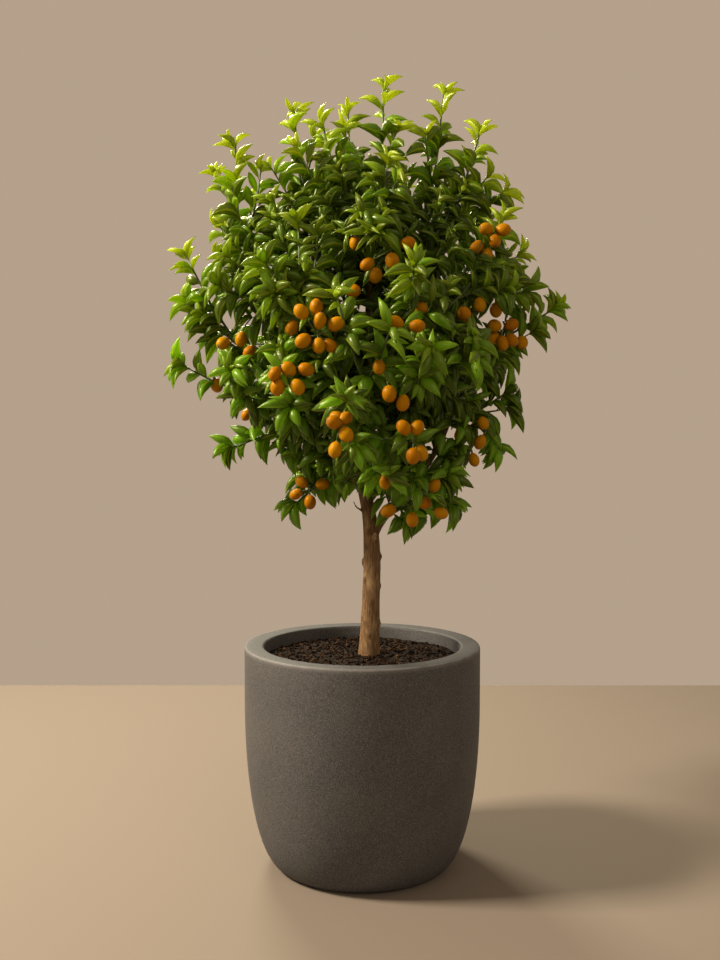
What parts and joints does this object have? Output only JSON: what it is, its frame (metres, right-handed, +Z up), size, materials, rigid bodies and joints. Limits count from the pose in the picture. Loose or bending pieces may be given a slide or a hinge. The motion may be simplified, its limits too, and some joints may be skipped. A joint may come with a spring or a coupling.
{
  "type": "potted kumquat tree",
  "caption": "Small kumquat tree grown as a standard: a bare trunk, a rounded leafy crown and orange fruit, rooted in soil in a round, thick-rimmed planter.",
  "frame": {"origin": "centre of the planter's flat base, on the planter's axis", "axes": "+Z up along the planter's axis, +X to the right in the picture, -Y towards its camera"},
  "size_m": [0.7591, 0.7651, 1.5249],
  "materials": {
    "cast_stone": "matte",
    "potting_soil": "matte",
    "bark": "matte",
    "leaf": "satin",
    "fruit": "satin"
  },
  "bodies": {
    "root": {"pot": "cast_stone", "soil": "potting_soil", "trunk_and_limbs": "bark", "spray_01": "leaf", "spray_02": "leaf", "spray_03": "leaf", "spray_04": "leaf", "spray_05": "leaf", "spray_06": "leaf", "spray_07": "leaf", "spray_08": "leaf", "spray_09": "leaf", "spray_10": "leaf", "spray_11": "leaf", "spray_12": "leaf", "spray_13": "leaf", "spray_14": "leaf", "spray_15": "leaf", "spray_16": "leaf", "spray_17": "leaf", "spray_18": "leaf", "spray_19": "leaf", "spray_20": "leaf", "spray_21": "leaf", "spray_22": "leaf", "spray_23": "leaf", "spray_24": "leaf", "spray_25": "leaf", "spray_26": "leaf", "spray_27": "leaf", "spray_28": "leaf", "spray_29": "leaf", "spray_30": "leaf", "spray_31": "leaf", "spray_32": "leaf", "spray_33": "leaf", "spray_34": "leaf", "spray_35": "leaf", "spray_36": "leaf", "spray_37": "leaf", "spray_38": "leaf", "spray_39": "leaf", "spray_40": "leaf", "spray_41": "leaf", "spray_42": "leaf", "kumquats_01": "fruit", "kumquats_02": "fruit", "kumquats_03": "fruit", "kumquats_04": "fruit", "kumquats_05": "fruit", "kumquats_06": "fruit", "kumquats_07": "fruit", "kumquats_08": "fruit", "kumquats_09": "fruit", "kumquats_10": "fruit", "kumquats_11": "fruit", "kumquats_12": "fruit", "kumquats_13": "fruit", "kumquats_14": "fruit", "kumquats_15": "fruit"}
  },
  "joints": []
}
